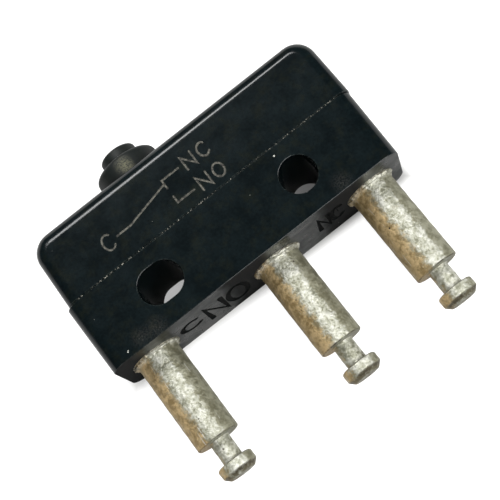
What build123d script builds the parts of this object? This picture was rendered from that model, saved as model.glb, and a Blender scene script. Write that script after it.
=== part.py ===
from build123d import *
import os
from math import radians, tan

# Subminiature snap-action basic switch with a pin plunger and three turned solder terminals.
#
# Frame: +X runs along the case towards the normally closed terminal, +Y towards the plunger and +Z out of
# the front face. The switch lies on its back face, which is Z = 0. The origin is on that face, midway
# between the axes of the two mounting holes. All sizes are in millimetres.

# ---- Case ----
case_length = 19.8  # over the base's ends at the parting line, where the front corners start to round
case_thickness = 6.35
base_depth = 2.3  # mounting-hole axes down to the terminal face
parting_height = 2.15  # mounting-hole axes up to the parting line
cover_height = 4.38  # parting line up to the cover's top face
end_draft = 1.0  # degrees on each end, away from the parting line
end_taper = 2.8  # degrees on each end, in towards the front face
corner_radius = 1.0  # the base's four upright corners
cover_corner_radius = 1.3  # where the cover's top meets its ends
cover_edge_radius = 0.85  # round the outline of the cover's front and back faces
base_offset = -0.05  # the base's outside is centred here along X
cover_offset = 0.07  # and the cover's here, so their ends step at the parting line
parting_step = 0.06  # half of what the base is longer than the cover
parting_bevel = 0.05  # broken edge on both sides of the parting line

# ---- Moulded walls ----
end_wall = 0.7  # cover, at the parting line
side_wall = 0.8
roof_thickness = 0.8
floor_web = 0.4  # left between the mounting holes and the cavity floor
cavity_corner_radius = 0.35
rim_wall = 0.3  # locating rim that stands up from the base into the cover
rim_height = 0.6
rim_clearance = 0.05

# ---- Mounting holes ----
hole_pitch = 9.53
hole_diameter = 2.2
slot_length = 2.73  # the hole nearer the common terminal is a slot

# ---- Plunger and its boss ----
plunger_x = -2.62
boss_diameter = 4.0
boss_height = 1.37
boss_round = 0.35
boss_root_bevel = 0.15
plunger_diameter = 2.3
plunger_reach = 1.05  # free height of the plunger's crown above the boss
crown_radius = 2.45
crown_edge_round = 0.2
plunger_running_clearance = 0.04  # radial, in the boss
plunger_flange_diameter = 3.0
plunger_flange_thickness = 0.5
nub_diameter = 1.1
plunger_stop_gap = 0.02  # flange to the roof when the plunger is free

# ---- Turned terminals ----
open_terminal_x = 0.98
terminal_flange_diameter = 3.3
terminal_flange_thickness = 0.3
barrel_diameter = 2.72
barrel_length = 5.7
barrel_bevel = 0.2
neck_diameter = 1.28
neck_length = 1.4
head_diameter = 2.25
head_thickness = 0.88
head_end_bevel = 0.3
tenon_diameter = 0.9
tenon_clearance = 0.02  # radial, in the base and in the bracket
stake_diameter = 1.2  # tenon spread over the bracket
stake_height = 0.25

# ---- Contact brackets ----
bracket_stock = 0.4
bracket_width = 3.6
arm_width = 2.3
bend_radius = 0.15  # inside of each bend
bracket_fit_gap = 0.03  # bracket's upright to the rim
foot_margin = 0.33  # open bracket's foot beyond its staked tenon
joggle_run = 0.6
anchor_height = 2.1  # cavity floor up to the shelf that carries the spring
shelf_length = 2.5
shelf_edge_round = 0.2  # the blade rocks on this edge
rail_depth = 0.75
rail_web = 0.5  # rail's depth at its far end

# ---- Snap spring ----
spring_stock = 0.1
spring_width = 3.2
tongue_width = 1.2
leaf_slit = 0.3  # between the tongue and each side leaf
leaf_rise = 0.55  # bow of the side leaves
leaf_root_setback = 1.5  # contact centre back to where the leaves leave the blade
tip_margin = 0.15  # blade beyond the contact
ear_gap = 0.1  # plunger's flange to the notched ears
notch_depth = 0.12
notch_height = 0.3
notch_clearance = 0.03
clamp_length = 1.6
clamp_width = 2.0
clamp_thickness = 0.3
clamp_setback = 1.25  # clamp's far edge to the rivet's axis
rivet_diameter = 0.7
rivet_clearance = 0.02
rivet_head_diameter = 1.2
rivet_head_height = 0.2

# ---- Contacts ----
contact_diameter = 1.5
contact_head_height = 0.3  # each face of the moving contact
contact_crown = 0.1  # dome within that height
contact_shank_diameter = 0.8
contact_shank_clearance = 0.02
fixed_contact_height = 0.4
contact_rivet_height = 0.15  # shank spread on the far side of its arm
contact_margin = 0.1  # arm beyond its contact
closed_contact_gap = 0.02
open_contact_gap = 0.45
isolation_gap = 0.78  # open bracket to the closed terminal's staked tenon

# ---- Derived levels along Y ----
terminal_face_y = -base_depth
floor_y = hole_diameter / 2 + floor_web
parting_y = parting_height
rim_top_y = parting_y + rim_height
top_y = parting_y + cover_height
roof_y = top_y - roof_thickness
boss_top_y = top_y + boss_height
crown_y = boss_top_y + plunger_reach
shelf_top_y = floor_y + anchor_height
blade_top_y = shelf_top_y + spring_stock
open_contact_y = shelf_top_y - contact_head_height - open_contact_gap
closed_contact_y = blade_top_y + contact_head_height + closed_contact_gap
open_arm_top_y = open_contact_y - fixed_contact_height
closed_arm_y = closed_contact_y + fixed_contact_height

# ---- Derived stations along X ----
mid_z = case_thickness / 2
cavity_half_length = case_length / 2 - end_wall
cavity_width = case_thickness - 2 * side_wall
rim_half_length = cavity_half_length - rim_clearance
rim_width = cavity_width - 2 * rim_clearance
tray_half_length = rim_half_length - rim_wall
upright_face_x = tray_half_length - bracket_fit_gap
end_terminal_x = upright_face_x - bracket_stock - bend_radius - stake_diameter / 2
open_arm_end_x = end_terminal_x - stake_diameter / 2 - isolation_gap
contact_x = open_arm_end_x - contact_margin - contact_diameter / 2
leaf_root_x = contact_x - leaf_root_setback
blade_tip_x = contact_x + contact_diameter / 2 + tip_margin
ear_x = plunger_x + plunger_flange_diameter / 2 + ear_gap
notch_face_x = ear_x + bracket_stock
shelf_end_x = -upright_face_x + shelf_length
rivet_x = shelf_end_x - clamp_setback


# ---- Shared shapes ----
def slab(sketch, width):
    """An XY sketch given a width that is centred on the switch's middle plane."""
    return extrude(Pos(0, 0, mid_z) * sketch, amount=width / 2, both=True)


def turned(profile_points, x):
    """A solid of revolution about the upright axis at x, from (radius, y) points."""
    profile = make_face(Polyline(*profile_points, close=True))
    return Pos(x, 0, mid_z) * revolve(profile, Axis.Y)


def upright_cylinder(x, y_low, y_high, diameter):
    """A plain cylinder along Y."""
    length = y_high - y_low
    return Pos(x, y_low + length / 2, mid_z) * Rot(X=90) * Cylinder(diameter / 2, length)


def rounded_box(half_length, y_low, y_high, width, radius):
    """A block with four upright corners rounded, centred on the middle plane."""
    block = Pos(0, (y_low + y_high) / 2, mid_z) * Box(2 * half_length, y_high - y_low, width)
    return fillet(block.edges().filter_by(Axis.Y), radius)


def case_block(half_at_parting, centre_x, y_far):
    """Half of the case, its ends drafted from the parting line and tapered to the front face."""
    draft = tan(radians(end_draft)) * (1 if y_far > parting_y else -1)
    taper = tan(radians(end_taper))
    height = abs(y_far - parting_y)
    block = Pos(0, (parting_y + y_far) / 2, mid_z) * Box(4 * half_at_parting, height, case_thickness)
    for side in (-1, 1):
        edge = (centre_x + side * half_at_parting, parting_y, case_thickness - corner_radius)
        block = split(block, bisect_by=Plane(origin=edge, z_dir=(side, draft, taper)), keep=Keep.BOTTOM)
    return block


def edges_at(part, y):
    """The edges that lie wholly at one level."""
    return part.edges().filter_by_position(Axis.Y, y - 0.001, y + 0.001)


def folded_strip(points, width):
    """A strip of bracket stock: the middle line of its section, its thickness and its bends."""
    centre_line = FilletPolyline(*points, radius=bend_radius + bracket_stock / 2)
    start = Plane(origin=centre_line @ 0, x_dir=(0, 0, 1), z_dir=centre_line % 0)
    section = start * Rectangle(width, bracket_stock)
    return Pos(0, 0, mid_z) * sweep(section, path=centre_line)


def tip_rounder(x_tip, y_low, y_high, width, direction):
    """What trims a strip's end at x_tip to a half circle; direction is +1 for an end that points to +X."""
    radius = width / 2
    centre_x = x_tip - direction * radius
    margin = width
    corner = Pos(centre_x + direction * margin / 2, (y_low + y_high) / 2, mid_z) * Box(
        margin, y_high - y_low, 2 * margin
    )
    return corner - upright_cylinder(centre_x, y_low - 1, y_high + 1, width)


# ---- Case ----
def base_housing():
    """The terminal half: a deep floor with the mounting holes, and a rim that locates the cover."""
    body = case_block(case_length / 2, base_offset, terminal_face_y)
    body = fillet([edge for edge in body.edges() if abs(edge.tangent_at(0.5).Y) > 0.5], corner_radius)
    body = chamfer(edges_at(body, parting_y), parting_bevel)
    rim_radius = cavity_corner_radius - rim_clearance
    body += rounded_box(rim_half_length, floor_y, rim_top_y, rim_width, rim_radius)
    tray_width = rim_width - 2 * rim_wall
    tray_radius = max(rim_radius - rim_wall, 0.1)
    body -= rounded_box(tray_half_length, floor_y, rim_top_y + 1, tray_width, tray_radius)
    round_hole = Cylinder(hole_diameter / 2, 2 * case_thickness)
    slot = extrude(SlotOverall(slot_length, hole_diameter), amount=case_thickness, both=True)
    body -= Pos(hole_pitch / 2, 0, mid_z) * round_hole
    body -= Pos(-hole_pitch / 2, 0, mid_z) * slot
    tenon_bore = tenon_diameter + 2 * tenon_clearance
    for x in (-end_terminal_x, open_terminal_x, end_terminal_x):
        body -= upright_cylinder(x, terminal_face_y - 1, floor_y + 1, tenon_bore)
    return body


def cover_housing():
    """The plunger half: a hollow box whose roof carries the domed boss that guides the plunger."""
    body = case_block(case_length / 2 - parting_step, cover_offset, top_y)
    top_corners = [edge for edge in edges_at(body, top_y) if abs(edge.tangent_at(0.5).Z) > 0.5]
    body = fillet(top_corners, cover_corner_radius)
    broad_faces = body.faces().sort_by(Axis.Z)[:: len(body.faces()) - 1]
    outline = [edge for face in broad_faces for edge in face.edges() if edge.center().Y > parting_y + 0.01]
    body = fillet(outline, cover_edge_radius)
    body = chamfer(edges_at(body, parting_y), parting_bevel)
    body -= rounded_box(cavity_half_length, parting_y - 1, roof_y, cavity_width, cavity_corner_radius)
    body += upright_cylinder(plunger_x, roof_y, boss_top_y, boss_diameter)
    boss_root = [edge for edge in edges_at(body, top_y) if edge.geom_type == GeomType.CIRCLE
                 and abs(edge.radius - boss_diameter / 2) < 0.001]
    body = chamfer(boss_root, boss_root_bevel)
    bore = plunger_diameter + 2 * plunger_running_clearance
    widest_round = (boss_diameter - bore) / 2 - 0.03
    body = fillet(edges_at(body, boss_top_y), min(boss_round, widest_round))
    return body - upright_cylinder(plunger_x, roof_y - 1, boss_top_y + 1, bore)


# ---- Plunger ----
def plunger():
    """A crowned pin with the flange that keeps it in the cover and the nub that works the spring."""
    pin_radius = plunger_diameter / 2
    flange_radius = plunger_flange_diameter / 2
    nub_radius = nub_diameter / 2
    flange_top = roof_y - plunger_stop_gap
    flange_bottom = flange_top - plunger_flange_thickness
    nub_end = blade_top_y + plunger_stop_gap
    body = turned(
        [
            (0, nub_end),
            (nub_radius, nub_end),
            (nub_radius, flange_bottom),
            (flange_radius, flange_bottom),
            (flange_radius, flange_top),
            (pin_radius, flange_top),
            (pin_radius, crown_y),
            (0, crown_y),
        ],
        plunger_x,
    )
    crown = Pos(plunger_x, crown_y - crown_radius, mid_z) * Sphere(crown_radius)
    below_crown = upright_cylinder(plunger_x, nub_end - 1, crown_y - crown_radius, 4 * crown_radius)
    body &= crown + below_crown
    circles = body.edges().filter_by(GeomType.CIRCLE)
    shoulder = [edge for edge in circles if edge.center().Y > boss_top_y]
    return fillet(shoulder, crown_edge_round)


# ---- Terminals ----
def terminal(x):
    """One turned post: staked tenon, flange, barrel, and a necked head that takes the wire."""
    flange_y = terminal_face_y - terminal_flange_thickness
    barrel_y = flange_y - barrel_length
    neck_y = barrel_y - neck_length
    head_y = neck_y - head_thickness
    stake_y = floor_y + bracket_stock
    body = turned(
        [
            (0, head_y),
            (head_diameter / 2, head_y),
            (head_diameter / 2, neck_y),
            (neck_diameter / 2, neck_y),
            (neck_diameter / 2, barrel_y),
            (barrel_diameter / 2, barrel_y),
            (barrel_diameter / 2, flange_y),
            (terminal_flange_diameter / 2, flange_y),
            (terminal_flange_diameter / 2, terminal_face_y),
            (tenon_diameter / 2, terminal_face_y),
            (tenon_diameter / 2, stake_y),
            (stake_diameter / 2, stake_y),
            (stake_diameter / 2, stake_y + stake_height),
            (0, stake_y + stake_height),
        ],
        x,
    )
    barrel_rim = edges_at(body, barrel_y).sort_by(SortBy.RADIUS)[-1]
    body = chamfer(barrel_rim, barrel_bevel)
    return chamfer(edges_at(body, head_y), head_end_bevel)


# ---- Common side ----
def anchor_bracket():
    """Folded bracket on the common terminal: foot, upright, shelf, and two rails that end in notched ears."""
    middle = bracket_stock / 2
    foot_end_x = -end_terminal_x + stake_diameter / 2 + foot_margin
    body = folded_strip(
        [
            (foot_end_x, floor_y + middle),
            (-upright_face_x + middle, floor_y + middle),
            (-upright_face_x + middle, shelf_top_y - middle),
            (shelf_end_x, shelf_top_y - middle),
        ],
        bracket_width,
    )
    shelf_end = body.edges().filter_by(Axis.Z).filter_by_position(
        Axis.X, shelf_end_x - 0.001, shelf_end_x + 0.001
    )
    body = fillet(shelf_end.sort_by(Axis.Y)[-1:], shelf_edge_round)
    tenon_hole = tenon_diameter + 2 * tenon_clearance
    body -= upright_cylinder(-end_terminal_x, floor_y - 1, floor_y + bracket_stock + 0.3, tenon_hole)
    body -= upright_cylinder(rivet_x, shelf_top_y - 1, shelf_top_y + 1, rivet_diameter + 2 * rivet_clearance)
    for side in (-1, 1):
        body += rail(side)
    return body


def rail(side):
    """A side flange of the shelf that runs past the plunger and turns in to a notched ear."""
    rail_start_x = -upright_face_x + bracket_stock + bend_radius
    rail_bottom_y = shelf_top_y - rail_depth
    outline = Polyline(
        (rail_start_x, shelf_top_y),
        (shelf_end_x, shelf_top_y),
        (notch_face_x, shelf_top_y),
        (notch_face_x, shelf_top_y - rail_web),
        (shelf_end_x, rail_bottom_y),
        (rail_start_x, rail_bottom_y),
        close=True,
    )
    rail_z = mid_z + side * (bracket_width - bracket_stock) / 2
    web = extrude(Pos(0, 0, rail_z) * make_face(outline), amount=bracket_stock / 2, both=True)
    leaf_width = (spring_width - tongue_width) / 2 - leaf_slit
    ear_inner = tongue_width / 2 + leaf_slit / 2
    ear_width = bracket_width / 2 - ear_inner
    ear_z = mid_z + side * (ear_inner + ear_width / 2)
    ear_low = shelf_top_y - rail_web
    ear_high = blade_top_y + notch_height + leaf_width / 2
    ear = Pos(ear_x + bracket_stock / 2, (ear_low + ear_high) / 2, ear_z) * Box(
        bracket_stock, ear_high - ear_low, ear_width
    )
    notch_y = shelf_top_y + spring_stock / 2
    notch = make_face(
        Polyline(
            (notch_face_x + notch_depth, notch_y - notch_height),
            (notch_face_x + notch_depth, notch_y + notch_height),
            (notch_face_x - notch_depth, notch_y),
            close=True,
        )
    )
    return web + ear - slab(notch, 2 * bracket_width)


# ---- Snap spring ----
def snap_spring():
    """One stamped piece: a flat centre tongue under tension between two bowed leaves under compression."""
    blade_mid_y = shelf_top_y + spring_stock / 2
    tongue_start_x = rivet_x - clamp_length / 2
    tongue = Pos((tongue_start_x + leaf_root_x) / 2, blade_mid_y, mid_z) * Box(
        leaf_root_x - tongue_start_x, spring_stock, tongue_width
    )
    root_pad = Pos(rivet_x, blade_mid_y, mid_z) * Box(clamp_length, spring_stock, clamp_width)
    tip_length = blade_tip_x - leaf_root_x
    tip = Pos(leaf_root_x + tip_length / 2, blade_mid_y, mid_z) * Box(tip_length, spring_stock, spring_width)
    tip = fillet(tip.edges().filter_by(Axis.Y).sort_by(Axis.X)[-2:], spring_width / 2 - 0.5)
    blade = tongue + root_pad + tip
    for side in (-1, 1):
        blade += bowed_leaf(side, blade_mid_y)
    blade -= upright_cylinder(rivet_x, shelf_top_y - 1, shelf_top_y + 1, rivet_diameter + 2 * rivet_clearance)
    contact_hole = contact_shank_diameter + 2 * contact_shank_clearance
    return blade - upright_cylinder(contact_x, shelf_top_y - 1, shelf_top_y + 1, contact_hole)


def bowed_leaf(side, blade_mid_y):
    """A side leaf, bowed up from the blade to its free end, which bears in the ear's notch."""
    free_end_x = notch_face_x - notch_depth + notch_clearance + spring_stock / 2
    half_span = (leaf_root_x - free_end_x) / 2
    middle_x = free_end_x + half_span
    bow = ThreePointArc(
        (free_end_x, blade_mid_y), (middle_x, blade_mid_y + leaf_rise), (leaf_root_x, blade_mid_y)
    )
    leaf_width = (spring_width - tongue_width) / 2 - leaf_slit
    leaf_z = mid_z + side * (spring_width - leaf_width) / 2
    start = Plane(origin=bow @ 0, x_dir=(0, 0, 1), z_dir=bow % 0)
    leaf = Pos(0, 0, leaf_z) * sweep(start * Rectangle(leaf_width, spring_stock), path=bow)
    root_lap = Pos(leaf_root_x, blade_mid_y, leaf_z) * Cylinder(spring_stock / 2, leaf_width)
    return leaf + root_lap


def spring_clamp_plate():
    """A small plate that holds the spring's root flat on the shelf."""
    plate = Pos(rivet_x, blade_top_y + clamp_thickness / 2, mid_z) * Box(
        clamp_length, clamp_thickness, clamp_width
    )
    plate = fillet(plate.edges().filter_by(Axis.Y), clamp_thickness)
    hole = rivet_diameter + 2 * rivet_clearance
    return plate - upright_cylinder(rivet_x, blade_top_y - 1, blade_top_y + 1, hole)


def spring_rivet():
    """Fastens clamp plate and spring to the shelf."""
    head_y = blade_top_y + clamp_thickness
    tail_y = shelf_top_y - bracket_stock
    shank = upright_cylinder(rivet_x, tail_y, head_y, rivet_diameter)
    head = upright_cylinder(rivet_x, head_y, head_y + rivet_head_height, rivet_head_diameter)
    tail = upright_cylinder(rivet_x, tail_y - rivet_head_height, tail_y, rivet_head_diameter)
    return shank + head + tail


# ---- Contacts ----
def contact_head(y_seat, height, direction):
    """A low dome on the contact axis, from its seat at y_seat towards direction (+1 up, -1 down)."""
    radius = contact_diameter / 2
    dome_radius = (radius**2 + contact_crown**2) / (2 * contact_crown)
    y_end = y_seat + direction * height
    head = upright_cylinder(contact_x, min(y_seat, y_end), max(y_seat, y_end), contact_diameter)
    return head & Pos(contact_x, y_end - direction * dome_radius, mid_z) * Sphere(dome_radius)


def moving_contact():
    """A double-faced contact riveted through the blade's tip."""
    shank = upright_cylinder(contact_x, shelf_top_y, blade_top_y, contact_shank_diameter)
    above = contact_head(blade_top_y, contact_head_height, 1)
    below = contact_head(shelf_top_y, contact_head_height, -1)
    return shank + above + below


def fixed_contact(arm_face_y, direction):
    """A contact button whose shank is spread on the far side of its arm."""
    far_y = arm_face_y - direction * bracket_stock
    spread_y = far_y - direction * contact_rivet_height
    spread_diameter = (contact_shank_diameter + contact_diameter) / 2
    shank_low, shank_high = sorted((far_y, arm_face_y))
    spread_low, spread_high = sorted((far_y, spread_y))
    shank = upright_cylinder(contact_x, shank_low, shank_high, contact_shank_diameter)
    spread = upright_cylinder(contact_x, spread_low, spread_high, spread_diameter)
    return contact_head(arm_face_y, fixed_contact_height, direction) + shank + spread


# ---- Fixed brackets ----
def open_bracket():
    """Carries the normally open contact under the blade: a foot, a joggle and a round-ended arm."""
    middle = bracket_stock / 2
    foot_start_x = open_terminal_x - stake_diameter / 2 - foot_margin
    joggle_x = open_terminal_x + stake_diameter / 2 + foot_margin
    body = folded_strip(
        [
            (foot_start_x, floor_y + middle),
            (joggle_x, floor_y + middle),
            (joggle_x + joggle_run, open_arm_top_y - middle),
            (open_arm_end_x, open_arm_top_y - middle),
        ],
        arm_width,
    )
    body -= tip_rounder(open_arm_end_x, floor_y - 1, open_arm_top_y + 1, arm_width, 1)
    tenon_hole = tenon_diameter + 2 * tenon_clearance
    contact_hole = contact_shank_diameter + 2 * contact_shank_clearance
    body -= upright_cylinder(open_terminal_x, floor_y - 1, floor_y + bracket_stock + 0.1, tenon_hole)
    return body - upright_cylinder(contact_x, floor_y - 1, open_arm_top_y + 1, contact_hole)


def closed_bracket():
    """Climbs the end wall from the normally closed terminal and holds its contact over the blade."""
    middle = bracket_stock / 2
    foot_end_x = end_terminal_x - stake_diameter / 2 - foot_margin / 2
    arm_end_x = contact_x - contact_diameter / 2 - contact_margin
    body = folded_strip(
        [
            (foot_end_x, floor_y + middle),
            (upright_face_x - middle, floor_y + middle),
            (upright_face_x - middle, closed_arm_y + middle),
            (arm_end_x, closed_arm_y + middle),
        ],
        arm_width,
    )
    body -= tip_rounder(arm_end_x, closed_arm_y - 0.3, closed_arm_y + bracket_stock + 0.3, arm_width, -1)
    tenon_hole = tenon_diameter + 2 * tenon_clearance
    contact_hole = contact_shank_diameter + 2 * contact_shank_clearance
    body -= upright_cylinder(end_terminal_x, floor_y - 1, floor_y + bracket_stock + 0.1, tenon_hole)
    return body - upright_cylinder(contact_x, closed_arm_y - 0.3, closed_arm_y + 1, contact_hole)


parts = {
    "base_housing": base_housing(),
    "cover_housing": cover_housing(),
    "plunger": plunger(),
    "common_terminal": terminal(-end_terminal_x),
    "normally_open_terminal": terminal(open_terminal_x),
    "normally_closed_terminal": terminal(end_terminal_x),
    "anchor_bracket": anchor_bracket(),
    "snap_spring": snap_spring(),
    "spring_clamp_plate": spring_clamp_plate(),
    "spring_rivet": spring_rivet(),
    "moving_contact": moving_contact(),
    "open_bracket": open_bracket(),
    "open_contact": fixed_contact(open_arm_top_y, 1),
    "closed_bracket": closed_bracket(),
    "closed_contact": fixed_contact(closed_arm_y, -1),
}

os.makedirs("parts", exist_ok=True)
for name, part in parts.items():
    part.label = name
    export_step(part, f"parts/{name}.step")
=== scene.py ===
"""Micro switch, dressed: a snap-action switch in two phenolic mouldings, with a domed pin plunger and three
turned, tin-plated solder posts. The switch lies on its back face on white paper."""

import math

import bpy
from mathutils import Matrix, Vector, noise


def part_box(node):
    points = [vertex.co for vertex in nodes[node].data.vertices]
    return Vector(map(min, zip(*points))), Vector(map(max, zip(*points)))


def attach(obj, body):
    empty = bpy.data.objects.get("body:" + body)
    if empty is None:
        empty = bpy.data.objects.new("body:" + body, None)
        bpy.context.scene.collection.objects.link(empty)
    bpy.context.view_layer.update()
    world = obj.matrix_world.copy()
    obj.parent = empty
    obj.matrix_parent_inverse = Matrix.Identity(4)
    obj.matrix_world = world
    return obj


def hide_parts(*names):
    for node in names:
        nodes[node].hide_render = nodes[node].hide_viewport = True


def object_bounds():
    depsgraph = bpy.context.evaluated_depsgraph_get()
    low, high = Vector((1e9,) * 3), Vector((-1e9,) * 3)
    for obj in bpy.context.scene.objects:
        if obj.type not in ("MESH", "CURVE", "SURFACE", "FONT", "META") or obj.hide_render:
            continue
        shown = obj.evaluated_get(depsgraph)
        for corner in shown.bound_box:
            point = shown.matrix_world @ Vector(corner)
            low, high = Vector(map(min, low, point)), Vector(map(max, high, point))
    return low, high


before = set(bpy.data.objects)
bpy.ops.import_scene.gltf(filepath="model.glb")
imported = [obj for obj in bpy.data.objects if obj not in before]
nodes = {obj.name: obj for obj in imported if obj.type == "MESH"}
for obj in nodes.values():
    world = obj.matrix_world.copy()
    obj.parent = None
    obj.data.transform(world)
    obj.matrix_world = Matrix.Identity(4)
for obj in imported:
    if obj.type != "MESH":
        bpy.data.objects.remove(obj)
cad_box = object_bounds()

MM = 0.001


# ---- Levels and places read from the frame, in millimetres ----
def box_mm(node_name):
    """The lowest and highest corners of a CAD node."""
    low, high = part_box(node_name)
    return low / MM, high / MM


base_low, base_high = box_mm("base_housing")
cover_low, cover_high = box_mm("cover_housing")
front_z = base_high.z
mid_z = front_z / 2
parting_y = cover_low.y
terminal_face_y = base_low.y
BOSS_HEIGHT = 1.37  # the boss stands this much above the cover's top
cover_top_y = cover_high.y - BOSS_HEIGHT
TERMINALS = ("common_terminal", "normally_open_terminal", "normally_closed_terminal")
post_end_y = box_mm(TERMINALS[0])[0].y

# the turned posts, in millimetres
BARREL_RADIUS, NECK_RADIUS, HEAD_RADIUS = 1.36, 0.64, 1.125
HEAD_THICKNESS, NECK_LENGTH = 0.88, 1.4
BARREL_BEVEL, HEAD_BEVEL = 0.07, 0.3
FLANGE_THICKNESS = 0.16
TENON_RADIUS, STAKE_HEIGHT = 0.45, 0.25
head_y = post_end_y + HEAD_THICKNESS
barrel_end_y = head_y + NECK_LENGTH

EDGE_BREAK = 0.07  # how far tumbling has rounded the case's edges
POST_SHADE_OFFSET = 1.9  # the matt patch with painted shade beside each post lies this far to the left of its axis


# ---- Shader helpers ----
def srgb(code):
    """A hex colour as linear RGBA."""
    values = [int(code[i:i + 2], 16) / 255 for i in (0, 2, 4)]
    return tuple(v / 12.92 if v <= 0.04045 else ((v + 0.055) / 1.055) ** 2.4 for v in values) + (1.0,)


def add(tree, kind, inputs=None, stops=(), **settings):
    """Adds one node with its settings, its inputs (plain values or other nodes' outputs) and its colour stops."""
    made = tree.nodes.new("ShaderNode" + kind)
    for name, value in settings.items():
        setattr(made, name, value)
    for socket, value in (inputs or {}).items():
        if isinstance(value, bpy.types.NodeSocket):
            tree.links.new(value, made.inputs[socket])
        else:
            made.inputs[socket].default_value = value
    for i, (position, code) in enumerate(stops):
        elements = made.color_ramp.elements
        stop = elements[i] if i < 2 else elements.new(position)
        stop.position, stop.color = position, srgb(code)
    return made


def new_material(name):
    """An empty node material: its tree, its Principled shader, and its own coordinates in millimetres."""
    made = bpy.data.materials.new(name)
    made.use_nodes = True
    tree = made.node_tree
    tree.nodes.clear()
    shader = add(tree, "BsdfPrincipled")
    add(tree, "OutputMaterial", {"Surface": shader.outputs[0]})
    place = add(tree, "TexCoord").outputs["Object"]
    in_mm = add(tree, "VectorMath", {0: place, "Scale": 1 / MM}, operation="SCALE").outputs[0]
    return made, tree, shader, in_mm


# ---- Materials ----
def moulded_phenolic(name, dark, light, skin, dusty_above, rubbed_and_lit=(), flecks=(), scuffs=()):
    """Phenolic moulding powder, compression moulded: near black with a blue-green cast. Its resin skin gives
    a satin gloss, which thins to a dusty grey where it is rubbed, as on the boss and the plunger."""
    made, tree, shader, place = new_material(name)
    at = add(tree, "SeparateXYZ", {0: place}).outputs
    # flow mottling of the powder, about 1.4 mm across, and its grain, 0.15 mm
    flow = add(tree, "TexNoise", {"Vector": place, "Scale": 0.7, "Detail": 3.0, "Roughness": 0.6}).outputs[0]
    grain = add(tree, "TexNoise", {"Vector": place, "Scale": 6.5, "Detail": 3.0, "Roughness": 0.65}).outputs[0]
    both = add(tree, "Math", {0: flow, 1: grain}).outputs[0]
    mixed = add(tree, "MapRange", {0: both, 1: 0.8, 2: 1.2}).outputs[0]
    colour = add(tree, "ValToRGB", {0: mixed}, stops=((0.0, dark), (1.0, light))).outputs[0]
    # where less resin rose to the skin, the wood-flour filler gives it an olive cast, in clouds 0.8 mm across
    lean = add(tree, "TexNoise", {"Vector": place, "Scale": 1.3, "Detail": 4.0, "Roughness": 0.7}).outputs[0]
    lean = add(tree, "MapRange", {0: lean, 1: 0.5, 2: 0.68, 4: 0.45}).outputs[0]
    colour = add(tree, "Mix", {0: lean, "A": colour, "B": srgb("1C1F17")}, data_type="RGBA").outputs["Result"]
    rough = add(tree, "MapRange", {0: flow, 1: 0.3, 2: 0.7, 3: skin, 4: skin + 0.04}).outputs[0]
    # fingers and dust have dulled what stands above the cover's top
    dusty = add(tree, "MapRange", {0: at["Y"], 1: dusty_above - 0.05, 2: dusty_above + 0.1}).outputs[0]
    film = add(tree, "MapRange", {0: grain, 1: 0.35, 2: 0.65, 3: 0.3, 4: 0.75}).outputs[0]
    film = add(tree, "Math", {0: film, 1: dusty}, operation="MULTIPLY").outputs[0]
    colour = add(tree, "Mix", {0: film, "A": colour, "B": srgb("171A16")}, data_type="RGBA").outputs["Result"]
    rough = add(tree, "Mix", {0: dusty, 2: rough, 3: 0.48}).outputs[0]
    # the terminal face was moulded against blasted steel: satin, in patches. Left of each post it is dead matt
    # and painted darker: painted shade where the post's shadow lies
    on_face = add(tree, "MapRange", {0: at["Y"], 1: terminal_face_y + 0.02, 2: terminal_face_y}).outputs[0]
    satin = add(tree, "MapRange", {0: flow, 1: 0.35, 2: 0.65, 3: 0.2, 4: 0.42}).outputs[0]
    for post in TERMINALS:
        post_low, post_high = box_mm(post)
        middle = (post_low.x + post_high.x) / 2 - POST_SHADE_OFFSET
        away = add(tree, "Math", {0: at["X"], 1: middle}, operation="SUBTRACT").outputs[0]
        away = add(tree, "Math", {0: away}, operation="ABSOLUTE").outputs[0]
        away = add(tree, "Math", {0: flow, 1: 1.2, 2: away}, operation="MULTIPLY_ADD").outputs[0]
        matt_and_painted_shade = add(tree, "MapRange", {0: away, 1: 1.6, 2: 2.3, 3: 1.0, 4: 0.0}).outputs[0]
        matt_and_painted_shade = add(tree, "Math", {0: matt_and_painted_shade, 1: on_face}, operation="MULTIPLY").outputs[0]
        satin = add(tree, "Mix", {0: matt_and_painted_shade, 2: satin, 3: 0.95}).outputs[0]
        colour = add(tree, "Mix", {0: matt_and_painted_shade, "A": colour, "B": srgb("07090A")}, data_type="RGBA").outputs["Result"]
    rough = add(tree, "Mix", {0: on_face, 2: rough, 3: satin}).outputs[0]
    # a broken line 0.06 mm wide along the edges is lighter: partly the skin rubbed through to the filler, partly a
    # painted highlight where the edges catch the light
    turned_over = add(tree, "Bevel", {"Radius": EDGE_BREAK * MM}, samples=6).outputs[0]
    straight = add(tree, "NewGeometry").outputs["Normal"]
    bend = add(tree, "VectorMath", {0: turned_over, 1: straight}, operation="DOT_PRODUCT").outputs["Value"]
    edge = add(tree, "MapRange", {0: bend, 1: 0.985, 2: 0.93, 3: 0.0, 4: 1.0}).outputs[0]
    broken = add(tree, "MapRange", {0: grain, 1: 0.42, 2: 0.62}).outputs[0]
    edge = add(tree, "Math", {0: edge, 1: broken}, operation="MULTIPLY").outputs[0]
    colour = add(tree, "Mix", {0: edge, "A": colour, "B": srgb("3E4440")}, data_type="RGBA").outputs["Result"]
    # dust in the pores: sparse specks 0.05 mm across
    cells = add(tree, "TexVoronoi", {"Vector": place, "Scale": 1.3}).outputs
    near = add(tree, "MapRange", {0: cells["Distance"], 1: 0.03, 2: 0.055, 3: 1.0, 4: 0.0}).outputs[0]
    chosen = add(tree, "MapRange", {0: cells["Color"], 1: 0.66, 2: 0.67, 4: 0.5}).outputs[0]
    pale = add(tree, "Math", {0: near, 1: chosen}, operation="MULTIPLY").outputs[0]
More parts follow.
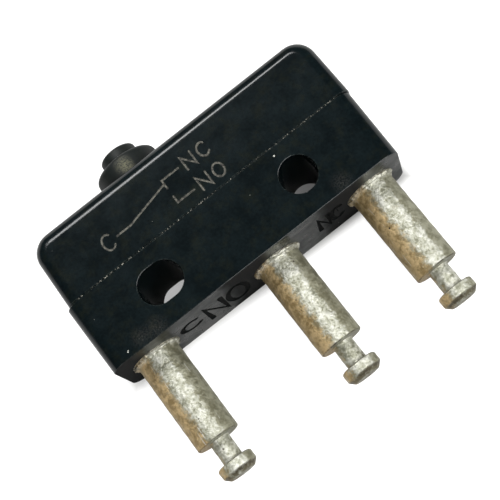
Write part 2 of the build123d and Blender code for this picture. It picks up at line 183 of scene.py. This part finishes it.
    # single flecks of lint and chips of the skin
    for centre, radius in flecks:
        away = add(tree, "VectorMath", {0: place, 1: centre}, operation="DISTANCE").outputs["Value"]
        spot = add(tree, "MapRange", {0: away, 1: radius * 0.7, 2: radius, 3: 1.0, 4: 0.0}).outputs[0]
        pale = add(tree, "Math", {0: pale, 1: spot}, operation="MAXIMUM").outputs[0]
    colour = add(tree, "Mix", {0: pale, "A": colour, "B": srgb("C9CBC2")}, data_type="RGBA").outputs["Result"]
    # dull smears, and a yellow-grey place on the boss, partly rubbed by a lever and partly a painted highlight;
    # grit, 0.09 mm across, breaks both up
    grit = add(tree, "TexNoise", {"Vector": place, "Scale": 11.0, "Detail": 2.0, "Roughness": 0.6}).outputs[0]
    grit = add(tree, "MapRange", {0: grit, 1: 0.38, 2: 0.6, 3: 0.1, 4: 1.0}).outputs[0]
    for patches, tone, most in ((scuffs, "4A4742", 0.22), (rubbed_and_lit, "6A6954", 0.8)):
        for centre, radius in patches:
            away = add(tree, "VectorMath", {0: place, 1: centre}, operation="DISTANCE").outputs["Value"]
            spot = add(tree, "MapRange", {0: away, 1: 0.0, 2: radius, 3: most, 4: 0.0},
                       interpolation_type="SMOOTHSTEP").outputs[0]
            spot = add(tree, "Math", {0: spot, 1: grit}, operation="MULTIPLY").outputs[0]
            colour = add(tree, "Mix", {0: spot, "A": colour, "B": srgb(tone)}, data_type="RGBA").outputs["Result"]
            rough = add(tree, "Mix", {0: spot, 2: rough, 3: 0.7}).outputs[0]
    tree.links.new(colour, shader.inputs["Base Color"])
    tree.links.new(rough, shader.inputs["Roughness"])
    shader.inputs["IOR"].default_value = 1.5
    shader.inputs["Specular IOR Level"].default_value = 0.3
    bump = add(tree, "Bump", {"Strength": 0.2, "Distance": 0.01 * MM, "Height": grain})
    tree.links.new(bump.outputs[0], shader.inputs["Normal"])
    return made


def filled_groove():
    """The pale wax that fills an engraved line: matt and dusty, so that the marks read on the dark case."""
    made, tree, shader, place = new_material("wax_filled_engraving")
    crumbs = add(tree, "TexNoise", {"Vector": place, "Scale": 7.0, "Detail": 3.0}).outputs[0]
    colour = add(tree, "ValToRGB", {0: crumbs}, stops=((0.35, "2B2A27"), (0.62, "6C6A61"))).outputs[0]
    tree.links.new(colour, shader.inputs["Base Color"])
    shader.inputs["Roughness"].default_value = 0.8
    return made


def cut_phenolic(name, dark, light):
    """Phenolic with its skin broken, in a groove or a torn fin: matt, with a grain of 0.2 mm."""
    made, tree, shader, place = new_material(name)
    crumbs = add(tree, "TexNoise", {"Vector": place, "Scale": 5.0, "Detail": 4.0, "Roughness": 0.7}).outputs[0]
    colour = add(tree, "ValToRGB", {0: crumbs}, stops=((0.48, dark), (0.62, light))).outputs[0]
    tree.links.new(colour, shader.inputs["Base Color"])
    shader.inputs["Roughness"].default_value = 0.75
    shader.inputs["Specular IOR Level"].default_value = 0.1
    return made


def plated_metal(name, colour, roughness):
    """Bright stamped or turned metal, with rolling marks 0.06 mm wide and 0.8 mm long."""
    made, tree, shader, place = new_material(name)
    drawn = add(tree, "Mapping", {"Vector": place, "Scale": (1.0, 14.0, 14.0)}).outputs[0]
    marks = add(tree, "TexNoise", {"Vector": drawn, "Scale": 1.2, "Detail": 3.0}).outputs[0]
    shader.inputs["Metallic"].default_value = 1.0
    darker = tuple(0.75 * c for c in srgb(colour))
    shade = add(tree, "Mix", {0: marks, "A": srgb(colour), "B": darker}, data_type="RGBA").outputs["Result"]
    tree.links.new(shade, shader.inputs["Base Color"])
    worn = add(tree, "MapRange", {0: marks, 3: roughness - 0.08, 4: roughness + 0.08}).outputs[0]
    tree.links.new(worn, shader.inputs["Roughness"])
    return made


def tinned_brass():
    """Turned brass, hot tinned and left to dull: off-white and mottled, stained yellow-brown down one side,
    with pits and fine white scratches, and a browner head end; painted shade darkens its right side, its far
    left edge and its turned corners. The tin is half bare metal, half oxide."""
    made, tree, shader, place = new_material("hot_tinned_brass")
    # each post takes its pattern from another place, so that no two look alike
    home = add(tree, "ObjectInfo").outputs["Location"]
    apart = add(tree, "VectorMath", {0: home, "Scale": 700.0}, operation="SCALE").outputs[0]
    spread = add(tree, "VectorMath", {0: place, 1: apart}).outputs[0]
    at = add(tree, "SeparateXYZ", {0: place}).outputs
    # blotches of the tin 0.5 mm across, its crystals, 0.15 mm, and clouds of stain, 0.35 mm
    blotch = add(tree, "TexNoise", {"Vector": spread, "Scale": 2.0, "Detail": 3.0, "Roughness": 0.6}).outputs[0]
    crystal = add(tree, "TexNoise", {"Vector": spread, "Scale": 6.5, "Detail": 2.0, "Roughness": 0.6}).outputs[0]
    moved = add(tree, "VectorMath", {0: spread, 1: (3.7, 0.0, 5.1)}).outputs[0]
    clouds = add(tree, "TexNoise", {"Vector": moved, "Scale": 2.6, "Detail": 5.0, "Roughness": 0.75}).outputs[0]
    mottle = add(tree, "Math", {0: crystal, 1: 0.7, 2: blotch}, operation="MULTIPLY_ADD").outputs[0]
    mottle = add(tree, "MapRange", {0: mottle, 1: 0.63, 2: 1.07}).outputs[0]
    colour = add(tree, "ValToRGB", {0: mottle}, stops=(
        (0.05, "8A8A77"), (0.95, "DEDED3"), (0.35, "ADAD9B"), (0.65, "C6C6B8"))).outputs[0]
    # a tan stain down the post's left side, and down its right side a darker green-grey that is painted shade,
    # both with ragged edges 0.3 mm deep, less of both on the neck and the head
    barrel = add(tree, "MapRange", {0: at["Y"], 1: barrel_end_y - 0.1, 2: barrel_end_y + 0.2, 3: -0.12, 4: 0.0})
    for start, end, dark, light, most in (
            (-0.1, -0.8, "A1885A", "DDC08C", 0.9), (0.45, 0.95, "77755F", "9F9E88", 0.85)):
        side = add(tree, "MapRange", {0: at["X"], 1: start, 2: end, 3: -0.2, 4: 0.35}).outputs[0]
        side = add(tree, "Math", {0: side, 1: barrel.outputs[0]}).outputs[0]
        ragged = add(tree, "Math", {0: side, 1: clouds}).outputs[0]
        mask = add(tree, "MapRange", {0: ragged, 1: 0.4, 2: 0.78, 4: most},
                   interpolation_type="SMOOTHSTEP").outputs[0]
        rim = add(tree, "MapRange", {0: ragged, 1: 0.4, 2: 0.55, 3: 0.0, 4: 0.5}).outputs[0]
        shade = add(tree, "Math", {0: mottle, 1: 0.3, 2: blotch}, operation="MULTIPLY_ADD").outputs[0]
        stain_and_shade = add(tree, "ValToRGB", {0: shade}, stops=((0.45, dark), (0.78, light))).outputs[0]
        colour = add(tree, "Mix", {0: rim, "A": colour, "B": srgb("77714F")}, data_type="RGBA").outputs["Result"]
        colour = add(tree, "Mix", {0: mask, "A": colour, "B": stain_and_shade}, data_type="RGBA").outputs["Result"]
    # the head's end, its last 0.5 mm, is browner and darker, in ragged clouds
    browner_head_end = add(tree, "MapRange", {0: at["Y"], 1: post_end_y + 0.5, 2: post_end_y + 0.2, 3: -0.3, 4: 0.15})
    browner_head_end = add(tree, "Math", {0: browner_head_end.outputs[0], 1: clouds}).outputs[0]
    browner_head_end = add(tree, "MapRange", {0: browner_head_end, 1: 0.5, 2: 0.68, 4: 0.9},
                  interpolation_type="SMOOTHSTEP").outputs[0]
    # the flange's torn rim is bare and pale
    torn = add(tree, "MapRange", {0: at["Y"], 1: terminal_face_y - 0.34, 2: terminal_face_y - 0.1}).outputs[0]
    torn = add(tree, "Math", {0: torn, 1: mottle}, operation="MULTIPLY").outputs[0]
    # painted shade: the far left edge, turned from the window lamp, is darker still
    edge = add(tree, "MapRange", {0: at["X"], 1: -0.95, 2: -1.3, 4: 0.55}).outputs[0]
    edge = add(tree, "Math", {0: edge, 1: mottle}, operation="MULTIPLY").outputs[0]
    for share, tone in ((browner_head_end, "665E45"), (torn, "D6D5CA"), (edge, "4F4A33")):
        colour = add(tree, "Mix", {0: share, "A": colour, "B": srgb(tone)}, data_type="RGBA").outputs["Result"]
    # pits, 0.12 mm across, olive with dirt
    cells = add(tree, "TexVoronoi", {"Vector": spread, "Scale": 1.6}).outputs
    pit = add(tree, "MapRange", {0: cells["Distance"], 1: 0.06, 2: 0.13, 3: 1.0, 4: 0.0}).outputs[0]
    chosen = add(tree, "MapRange", {0: cells["Color"], 1: 0.55, 2: 0.57}).outputs[0]
    pits_and_corner_shade = add(tree, "Math", {0: pit, 1: chosen}, operation="MULTIPLY").outputs[0]
    # scratches run mostly down the post, 0.03 mm wide
    slid = add(tree, "Mapping", {"Vector": spread, "Rotation": (0.15, 0.0, 0.2), "Scale": (7.0, 0.5, 7.0)})
    lines = add(tree, "TexNoise", {"Vector": slid.outputs[0], "Scale": 1.0, "Detail": 2.0, "Roughness": 0.5})
    scratch = add(tree, "MapRange", {0: lines.outputs[0], 1: 0.68, 2: 0.72, 4: 0.6}).outputs[0]
    colour = add(tree, "Mix", {0: scratch, "A": colour, "B": srgb("E9E9E1")}, data_type="RGBA").outputs["Result"]
    # painted shade in the turned corners, as dark broken lines: under the flange, at the barrel's broken edge, and
    # round the head's two edges
    for level, width in ((terminal_face_y, 0.03), (barrel_end_y + 0.03, 0.03), (head_y, 0.03),
                         (post_end_y + HEAD_BEVEL * 0.6, 0.08)):
        away = add(tree, "Math", {0: at["Y"], 1: level}, operation="SUBTRACT").outputs[0]
        away = add(tree, "Math", {0: away}, operation="ABSOLUTE").outputs[0]
        line = add(tree, "MapRange", {0: away, 1: width * 0.5, 2: width * 1.8, 3: 1.0, 4: 0.0}).outputs[0]
        broken = add(tree, "MapRange", {0: mottle, 1: 0.2, 2: 0.7, 3: 0.0, 4: 0.9}).outputs[0]
        line = add(tree, "Math", {0: line, 1: broken}, operation="MULTIPLY").outputs[0]
        pits_and_corner_shade = add(tree, "Math", {0: pits_and_corner_shade, 1: line}, operation="MAXIMUM").outputs[0]
    # the pits' olive with dirt, and the corners' painted shade, in one colour
    colour = add(tree, "Mix", {0: pits_and_corner_shade, "A": colour, "B": srgb("4C4534")}, data_type="RGBA").outputs["Result"]
    tree.links.new(colour, shader.inputs["Base Color"])
    shader.inputs["Metallic"].default_value = 0.5
    rough = add(tree, "MapRange", {0: crystal, 1: 0.3, 2: 0.7, 3: 0.36, 4: 0.62}).outputs[0]
    tree.links.new(rough, shader.inputs["Roughness"])
    lumps = add(tree, "Math", {0: mottle, 1: pits_and_corner_shade}, operation="SUBTRACT").outputs[0]
    bump = add(tree, "Bump", {"Strength": 0.5, "Distance": 0.05 * MM, "Height": lumps})
    tree.links.new(bump.outputs[0], shader.inputs["Normal"])
    return made


# each mark: its centre and its radius, in millimetres
CASE_FLECKS = (
    ((4.36, 1.66, front_z), 0.06),
    ((-8.43, -1.97, front_z), 0.045),
    ((-8.38, -1.91, front_z), 0.035),
    ((-9.16, 5.85, front_z), 0.05),
)
CASE_SCUFFS = (((-7.4, -1.75, front_z), 0.8), ((-6.4, -1.9, front_z), 1.0), ((6.3, -1.9, front_z), 0.9))
# on the boss: a rubbed place that also carries a painted highlight
BOSS_RUB_AND_HIGHLIGHT = (((-2.55, 7.2, 5.15), 0.7), ((-2.4, 6.85, 5.25), 0.6))

case_moulding = moulded_phenolic("moulded_phenolic_case", "080F11", "0F181A", 0.15, cover_top_y, BOSS_RUB_AND_HIGHLIGHT,
                                 CASE_FLECKS, CASE_SCUFFS)
plunger_moulding = moulded_phenolic("moulded_phenolic_plunger", "0E1516", "1A2222", 0.24, cover_top_y)
# a trace of dust catches the light on the plunger's crown
plunger_moulding.node_tree.nodes["Principled BSDF"].inputs["Sheen Weight"].default_value = 0.02
groove_filling = filled_groove()
groove_wall = cut_phenolic("engraved_phenolic", "050707", "0E1212")
torn_flash = cut_phenolic("phenolic_flash", "101514", "A5A398")
tin_plate = tinned_brass()
bracket_brass = plated_metal("stamped_brass", "C9A24F", 0.32)
spring_copper = plated_metal("beryllium_copper_strip", "C98F5A", 0.3)
contact_silver = plated_metal("satin_silver", "D9D8D4", 0.28)
rivet_steel = plated_metal("plated_steel", "9A9B9D", 0.34)

FINISHES = (
    (case_moulding, ("base_housing", "cover_housing")),
    (plunger_moulding, ("plunger",)),
    (tin_plate, TERMINALS),
    (bracket_brass, ("anchor_bracket", "open_bracket", "closed_bracket")),
    (spring_copper, ("snap_spring",)),
    (rivet_steel, ("spring_clamp_plate", "spring_rivet")),
    (contact_silver, ("moving_contact", "open_contact", "closed_contact")),
)
for finish, finished in FINISHES:
    for name in finished:
        nodes[name].data.materials.clear()
        nodes[name].data.materials.append(finish)


# ---- Mesh helpers ----
def mesh_object(name, points, faces, finish, place=(0, 0, 0)):
    """A smooth-shaded mesh object from points in millimetres."""
    mesh = bpy.data.meshes.new(name)
    mesh.from_pydata([Vector(p) * MM for p in points], [], faces)
    mesh.polygons.foreach_set("use_smooth", [True] * len(mesh.polygons))
    mesh.materials.append(finish)
    thing = bpy.data.objects.new(name, mesh)
    thing.location = Vector(place) * MM
    bpy.context.scene.collection.objects.link(thing)
    return thing


def rounded(corners, radius, steps=4):
    """A (radius, height) profile with its inner corners rounded by at most the given radius."""
    out = [Vector(corners[0])]
    for before, at, after in zip(corners, corners[1:], corners[2:]):
        before, at, after = Vector(before), Vector(at), Vector(after)
        reach = min(radius, (before - at).length * 0.45, (after - at).length * 0.45)
        start = at + (before - at).normalized() * reach
        end = at + (after - at).normalized() * reach
        for i in range(steps + 1):
            t = i / steps
            out.append(start * (1 - t) ** 2 + at * 2 * t * (1 - t) + end * t * t)
    return out + [Vector(corners[-1])]


def divided(profile, longest):
    """The profile with its long runs divided, so that the turned surface can take small irregularities."""
    out = [profile[0]]
    for start, end in zip(profile, profile[1:]):
        parts = max(1, math.ceil((end - start).length / longest))
        out += [start.lerp(end, i / parts) for i in range(1, parts + 1)]
    return out


# ---- Terminals ----
POST_TURNS = 112  # faces round a post
FLANGE_TEAR = 0.35  # the most that the flange's rim is torn in, by wide and by fine tears alike


def terminal(node_name):
    """A turned post: staked tenon, ragged flange, barrel, neck and head, under a lumpy coat of tin."""
    low, high = box_mm(node_name)
    flange = (high.x - low.x) / 2
    axis_x = (low.x + high.x) / 2
    face, stake = terminal_face_y, high.y - STAKE_HEIGHT
    flange_y = face - FLANGE_THICKNESS
    corners = [
        # the tenon inside the case, staked over at its top
        (0.0, high.y), (0.52, high.y), (0.6, high.y - 0.08), (0.6, stake), (TENON_RADIUS, stake),
        (TENON_RADIUS, face),
        # the flange, with a small shoulder under it
        (flange, face), (flange, flange_y), (BARREL_RADIUS + 0.06, flange_y - 0.03),
        # the barrel, down to its broken edge
        (BARREL_RADIUS, flange_y - 0.18), (BARREL_RADIUS, barrel_end_y + BARREL_BEVEL),
        (BARREL_RADIUS - BARREL_BEVEL, barrel_end_y),
        # the neck and the head
        (NECK_RADIUS, barrel_end_y), (NECK_RADIUS, head_y),
        (HEAD_RADIUS - 0.08, head_y), (HEAD_RADIUS, head_y - 0.08), (HEAD_RADIUS, post_end_y + HEAD_BEVEL),
        (HEAD_RADIUS - HEAD_BEVEL, post_end_y), (0.0, post_end_y),
    ]
    profile = divided(rounded(corners, 0.05), 0.12)
    points, faces = [], []
    seed = Vector((axis_x * 3.1, 0, 0))
    for ring, (radius, y) in enumerate(profile):
        for k in range(POST_TURNS):
            angle = 2 * math.pi * k / POST_TURNS
            out = Vector((math.sin(angle), 0, math.cos(angle)))
            spot = out * radius + Vector((0, y, 0))
            # the tin's lumps, 0.6 mm and 0.2 mm across, which stay inside the bare post's size
            lump = noise.noise(spot * 1.7 + seed) * 0.014 + noise.noise(spot * 5 + seed) * 0.01 - 0.024
            if y > flange_y - 0.3 and radius > BARREL_RADIUS:
                wide_tear = abs(noise.noise(Vector((out.x * 4, out.z * 4, seed.x))))
                fine_tear = abs(noise.noise(Vector((out.x * 17, out.z * 17, y * 3 + seed.x))))
                torn = wide_tear * FLANGE_TEAR + fine_tear * FLANGE_TEAR
                lump -= torn * min(1.0, (radius - BARREL_RADIUS) / 0.25)
            grown = max(0.0, radius + lump) if y < face and radius > 0.2 else radius
            points.append((out.x * grown, y, out.z * grown))
            if ring:
                here, back = ring * POST_TURNS, (ring - 1) * POST_TURNS
                right = (k + 1) % POST_TURNS
                faces.append((back + k, here + k, here + right, back + right))
    piece = mesh_object(node_name + "_dressed", points, faces, tin_plate, (axis_x, 0, mid_z))
    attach(piece, "case")
    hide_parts(node_name)


for terminal_name in TERMINALS:
    terminal(terminal_name)


# ---- Engraved marks ----
def oval(centre, half_width, half_height, start=0.0, end=360.0, steps=20):
    """Points of an upright oval or of an arc of it, from angles in degrees."""
    angles = [math.radians(start + (end - start) * i / steps + 4) for i in range(steps + 1)]
    return [(centre[0] + half_width * math.cos(a), centre[1] + half_height * math.sin(a)) for a in angles]


def letter(which, left, low, width, height):
    """The strokes of one plain capital: C, N or O."""
    centre = (left + width / 2, low + height / 2)
    if which == "C":
        return [oval(centre, width / 2, height / 2, 45, 315)]
    if which == "O":
        return [oval(centre, width / 2, height / 2, 0, 360)]
    return [[(left, low), (left, low + height), (left + width, low), (left + width, low + height)]]


GROOVE_SIDES = 10  # faces round a groove's cutter
ROUND_END = ((0.9, 0.4), (0.6, 0.8))  # rings that round a groove's end: how far out, and how wide, in radii


def grooves(name, strokes, place_on_face, outward, width, depth, filling):
    """A cutter for engraved strokes: round-bottomed bars that run along each stroke's line on a face."""
    radius = (width * width / 4 + depth * depth) / (2 * depth)
    lift = radius - depth
    points, faces = [], []
    for stroke in strokes:
        line = [Vector(place_on_face(u, v)) for u, v in stroke]
        closed = (line[0] - line[-1]).length < 1e-6
        if closed:
            line = line[:-1]
        rings = []
        for i, at in enumerate(line):
            before = line[i - 1] if i or closed else None
            after = line[(i + 1) % len(line)] if i + 1 < len(line) or closed else None
            into = (at - before).normalized() if before is not None else None
            out_of = (after - at).normalized() if after is not None else None
            run = ((into or out_of) + (out_of or into)).normalized()
            across = outward.cross(run)
            # a mitred corner is wider, up to a limit
            spread = 1 / max(0.35, across.dot(outward.cross(out_of or into)))
            if before is None:
                rings += [(at - run * radius * reach, across, share) for reach, share in ROUND_END]
            rings.append((at, across, spread))
            if after is None:
                rings += [(at + run * radius * reach, across, share) for reach, share in reversed(ROUND_END)]
        first = len(points)
        for at, across, spread in rings:
            tall = min(1.0, spread)
            for k in range(GROOVE_SIDES):
                a = 2 * math.pi * k / GROOVE_SIDES
                up = outward * (lift + radius * tall * math.cos(a))
                points.append(at + up + across * radius * spread * math.sin(a))
        count = len(rings)
        for i in range(count if closed else count - 1):
            one, two = first + i * GROOVE_SIDES, first + (i + 1) % count * GROOVE_SIDES
            for k in range(GROOVE_SIDES):
                right = (k + 1) % GROOVE_SIDES
                faces.append((one + k, two + k, two + right, one + right))
        if not closed:
            last = first + (count - 1) * GROOVE_SIDES
            faces.append(tuple(first + k for k in range(GROOVE_SIDES)))
            faces.append(tuple(last + k for k in range(GROOVE_SIDES))[::-1])
    cutter = mesh_object(name, points, faces, filling)
    cutter.hide_render = True
    cutter.hide_viewport = True
    return cutter


# beside each post on the terminal face: its contact, C, NO or NC, moulded deep and wide
face_strokes = letter("C", -5.7, 2.6, 1.3, 1.6)
face_strokes += letter("N", -3.95, 1.4, 1.1, 3.1) + letter("O", -2.5, 1.4, 1.3, 3.1)
face_strokes += letter("N", 4.1, 2.1, 0.65, 2.3) + letter("C", 4.95, 2.1, 0.8, 2.3)
face_cutter = grooves("terminal_face_engraving", face_strokes, lambda u, v: (u, terminal_face_y, v),
                      Vector((0, -1, 0)), 0.38, 0.11, groove_wall)

# on the cover's front: a plain changeover diagram, drawn at rest, in fine shallow lines
front_strokes = letter("C", -6.1, 3.15, 0.7, 0.95)
front_strokes += [
    [(-5.15, 3.62), (-4.2, 3.62), (-1.35, 4.3)],  # the common lead and its blade
    [(-1.35, 4.0), (-1.35, 4.55), (-0.2, 4.55)],  # the closed contact
    [(-1.35, 3.4), (-1.35, 2.98), (-0.2, 2.98)],  # the open contact
]
front_strokes += letter("N", 0.2, 4.1, 0.65, 0.85) + letter("C", 1.2, 4.1, 0.65, 0.85)
front_strokes += letter("N", 0.2, 2.6, 0.65, 0.85) + letter("O", 1.2, 2.6, 0.65, 0.85)
front_cutter = grooves("front_engraving", front_strokes, lambda u, v: (u, v, front_z),
                       Vector((0, 0, 1)), 0.12, 0.04, groove_filling)


# ---- Case edges ----
def dress_case(node_name, cutter):
    """Breaks the moulding's sharp edges, as its tumbling does, and engraves its marks."""
    thing = nodes[node_name]
    weld = thing.modifiers.new("weld", "WELD")
    weld.merge_threshold = 0.0005 * MM
    flats = thing.modifiers.new("flat_faces", "DECIMATE")
    flats.decimate_type = "DISSOLVE"
    flats.angle_limit = math.radians(0.3)
    edges = thing.modifiers.new("broken_edges", "BEVEL")
    edges.width = EDGE_BREAK * MM
    edges.segments = 2
    edges.limit_method = "ANGLE"
    edges.angle_limit = math.radians(50)
    marks = thing.modifiers.new("engraving", "BOOLEAN")
    marks.operation = "DIFFERENCE"
    marks.object = cutter
    marks.solver = "EXACT"
    marks.use_self = True
    marks.material_mode = "TRANSFER"
    # the flats keep their own shading right up to a groove's rim or a broken edge
    rims = thing.modifiers.new("crisp_rims", "EDGE_SPLIT")
    rims.split_angle = math.radians(20)
    rims.use_edge_sharp = False
    thing.modifiers.new("shading", "WEIGHTED_NORMAL")


dress_case("base_housing", face_cutter)
dress_case("cover_housing", front_cutter)


# ---- Flash on the parting line ----
def parting_flash():
    """Crumbs of the torn fin that moulding leaves where the halves meet, along the case's front."""
    step, sides, clear_of_ends = 0.045, 8, 1.0
    points, faces = [], []
    x = cover_low.x + clear_of_ends
    end = cover_high.x - clear_of_ends
    while x < end:
        # the fin stood up better in some runs than in others, and best near the two ends
        dense = 0.5 + 0.5 * noise.noise(Vector((x * 1.1, 3.0, 0.0)) * 0.6)
        dense += 0.35 if x < -5.3 or x > 5.4 else 0.0
        lively = noise.noise(Vector((x * 9.0, 7.0, 1.0)))
        if lively > 0.35 - 0.45 * dense:
            long = step * (0.8 + 0.9 * abs(noise.noise(Vector((x * 23, 0, 5)))))
            wide = 0.035 + 0.09 * abs(noise.noise(Vector((x * 17, 2, 0)))) + 0.012 * dense
            y = parting_y + 0.06 * noise.noise(Vector((x * 6, 9, 2)))
            top = front_z + 0.012 * noise.noise(Vector((x * 15, 0, 8)))
            first = len(points)
            # each crumb: a broad foot in the case, and a smaller top just proud of it
            for share, z in ((1.0, front_z - 0.08), (0.6, top)):
                for k in range(sides):
                    a = 2 * math.pi * k / sides
                    points.append((x + long * share * math.cos(a), y + wide * share * math.sin(a), z))
            for k in range(sides):
                one, two = first + k, first + (k + 1) % sides
                faces.append((one, two, two + sides, one + sides))
            faces.append(tuple(first + sides + k for k in range(sides)))
            faces.append(tuple(first + sides - 1 - k for k in range(sides)))
        x += step
    piece = mesh_object("parting_flash", points, faces, torn_flash)
    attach(piece, "case")


parting_flash()


# ---- Table, lamps, camera ----
def table_finish():
    """Matt white paper: it shows white away from the switch; under and beside it the glow fades, a painted shadow
    over the real one.
    """
    made, tree, shader, place = new_material("matt_white_paper")
    shader.inputs["Base Color"].default_value = srgb("B4B4B2")
    shader.inputs["Roughness"].default_value = 0.9
    shader.inputs["Specular IOR Level"].default_value = 0.1
    # how far a point lies outside the case's outline
    at = add(tree, "SeparateXYZ", {0: place}).outputs
    outside = []
    for axis, low, high in (("X", base_low.x, base_high.x), ("Y", base_low.y, cover_high.y)):
        off_middle = add(tree, "Math", {0: at[axis], 1: (low + high) / 2}, operation="SUBTRACT").outputs[0]
        off_middle = add(tree, "Math", {0: off_middle}, operation="ABSOLUTE").outputs[0]
        outside.append(add(tree, "Math", {0: off_middle, 1: (high - low) / 2}, operation="SUBTRACT").outputs[0])
    away = add(tree, "Math", {0: outside[0], 1: outside[1]}, operation="MAXIMUM").outputs[0]
    # painted light: under the case the paper glows to the camera, more at the left, where the slot shows it
    painted_glow_under = add(tree, "MapRange", {0: at["X"], 1: -4.8, 2: 4.8, 3: 0.4, 4: 0.09}).outputs[0]
    # out of the switch's shadow the paper is pure white
    clear = add(tree, "MapRange", {0: away, 1: 12.0, 2: 60.0, 3: 0.9, 4: 1.0}).outputs[0]
    path = add(tree, "LightPath").outputs
    mirrored = add(tree, "Math", {0: path["Is Glossy Ray"], 1: path["Is Transmission Ray"]}).outputs[0]
    shares = []
    # the glow fades towards the case's outline, within 0.7 mm for the camera and 4 mm in reflections: a painted
    # shadow under and beside the switch
    for seen, reach, most, least in ((path["Is Camera Ray"], 0.7, clear, painted_glow_under), (mirrored, 4.0, 0.25, 0.0)):
        outer = add(tree, "MapRange", {0: away, 1: -0.1, 2: reach, 3: least, 4: most},
                    interpolation_type="SMOOTHSTEP").outputs[0]
        shares.append(add(tree, "Math", {0: outer, 1: seen}, operation="MULTIPLY").outputs[0])
    strength = add(tree, "Math", {0: shares[0], 1: shares[1]}).outputs[0]
    glow = add(tree, "Emission", {"Color": (1, 1, 1, 1), "Strength": strength}).outputs[0]
    both = add(tree, "AddShader", {0: shader.outputs[0], 1: glow}).outputs[0]
    out = next(n for n in tree.nodes if n.type == "OUTPUT_MATERIAL")
    tree.links.new(both, out.inputs["Surface"])
    return made


HALF = 3000.0  # half the table's side
table = mesh_object("table", [(-HALF, -HALF, 0), (HALF, -HALF, 0), (HALF, HALF, 0), (-HALF, HALF, 0)],
                    [(0, 1, 2, 3)], table_finish(), (0, 0, cad_box[0].z / MM - 0.002))


def lamp(name, direction, distance, width, height, power):
    """A soft white box that faces the switch from the given direction. Its sizes are in metres."""
    data = bpy.data.lights.new(name, "AREA")
    data.shape = "RECTANGLE"
    data.size, data.size_y = width, height
    data.energy = power
    thing = bpy.data.objects.new(name, data)
    backward = Vector(direction).normalized()
    across = (Vector((1, 0, 0)) - backward * backward.x).normalized()
    turn = Matrix((across, backward.cross(across), backward)).transposed().to_4x4()
    thing.matrix_world = Matrix.Translation(backward * distance) @ turn
    bpy.context.scene.collection.objects.link(thing)


lamp("window", (0.4, -0.36, 0.84), distance=0.25, width=0.28, height=0.1, power=0.68)
lamp("skylight", (0.0, 0.62, 0.78), distance=0.25, width=0.12, height=0.06, power=0.4)
lamp("fill", (-0.6, -0.45, 0.66), distance=0.3, width=0.2, height=0.2, power=0.08)


def room(daylight, backdrop_mirrored):
    """A dim room round a white backdrop: the backdrop shows white behind the switch, and the switch's shine
    shows it low above the table."""
    made = bpy.data.worlds.new("room")
    made.use_nodes = True
    tree = made.node_tree
    path = add(tree, "LightPath").outputs
    mirrored = add(tree, "Math", {0: path["Is Glossy Ray"], 1: path["Is Transmission Ray"]}).outputs[0]
    height = add(tree, "SeparateXYZ", {0: add(tree, "TexCoord").outputs["Generated"]}).outputs["Z"]
    low_down = add(tree, "MapRange", {0: height, 1: 0.0, 2: 0.15, 3: backdrop_mirrored, 4: 0.0}).outputs[0]
    strength = add(tree, "Math", {0: mirrored, 1: low_down, 2: daylight}, operation="MULTIPLY_ADD").outputs[0]
    strength = add(tree, "Mix", {0: path["Is Camera Ray"], 2: strength, 3: 1.0}).outputs[0]
    colour = add(tree, "Mix", {0: path["Is Camera Ray"], "A": srgb("E8ECEF"), "B": srgb("FFFFFF")},
                 data_type="RGBA").outputs["Result"]
    background = tree.nodes["Background"]
    tree.links.new(colour, background.inputs["Color"])
    tree.links.new(strength, background.inputs["Strength"])
    return made


bpy.context.scene.world = room(daylight=0.06, backdrop_mirrored=0.19)

# the camera, its place and its aim in millimetres
CAMERA_PLACE = Vector((0.597, -16.44, 63.737)) * MM
CAMERA_AIM = Vector((0.132, -0.87, 3.175)) * MM
CAMERA_UP = Vector((0.6169, 0.7634, 0.1915))

camera_data = bpy.data.cameras.new("camera")
camera_data.lens = 79.0
camera_data.sensor_width = 36.0
camera_data.clip_start, camera_data.clip_end = 0.001, 10
camera = bpy.data.objects.new("camera", camera_data)
backward = (CAMERA_PLACE - CAMERA_AIM).normalized()
right = CAMERA_UP.cross(backward).normalized()
up = backward.cross(right)
turn = Matrix((right, up, backward)).transposed().to_4x4()
camera.matrix_world = Matrix.Translation(CAMERA_PLACE) @ turn
bpy.context.scene.collection.objects.link(camera)
bpy.context.scene.camera = camera

bpy.context.scene.view_settings.view_transform = "Standard"
